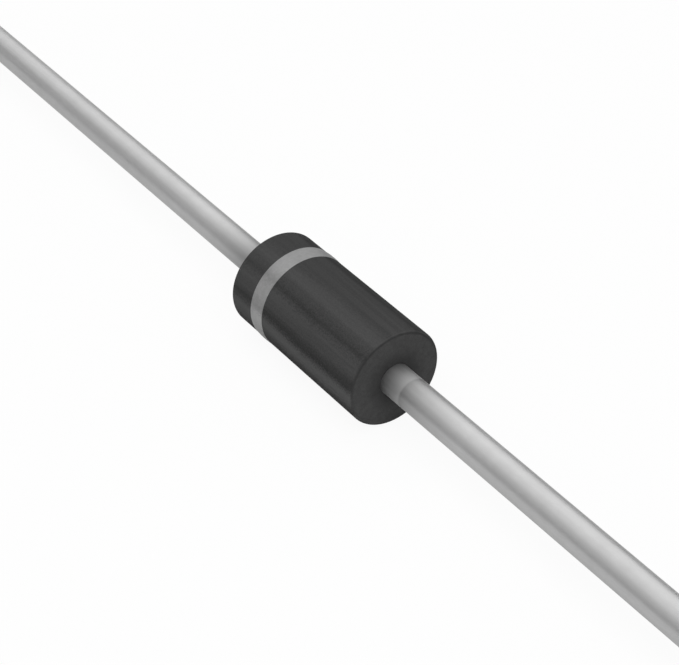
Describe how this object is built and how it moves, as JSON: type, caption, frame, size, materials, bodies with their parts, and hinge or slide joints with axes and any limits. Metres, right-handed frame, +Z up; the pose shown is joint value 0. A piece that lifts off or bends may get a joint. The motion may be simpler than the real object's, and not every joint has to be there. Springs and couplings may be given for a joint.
{
  "type": "zener diode",
  "caption": "Axial-lead zener diode: a black moulded cylinder with a pale cathode band and a straight tinned lead from each end, which clamps a voltage in a circuit.",
  "frame": {"origin": "middle of the moulded case, on the lead axis", "axes": "+X along the leads from the banded cathode end to the anode end, +Z up"},
  "size_m": [0.056, 0.0028, 0.0028],
  "materials": {
    "case_epoxy": "black moulded epoxy, satin with a fine grain",
    "band_ink": "pale grey printed ink, satin",
    "tinned_copper": "copper wire with a satin matte tin coat",
    "silicon": "sawn silicon with plated faces, opaque",
    "solder": "dull soft solder",
    "silicone": "cured white silicone"
  },
  "bodies": {
    "root": {"case": "case_epoxy", "cathode_band": "band_ink", "cathode_lead": "tinned_copper", "anode_lead": "tinned_copper", "zener_chip": "silicon", "cathode_solder": "solder", "anode_solder": "solder", "junction_coating": "silicone"}
  },
  "joints": []
}
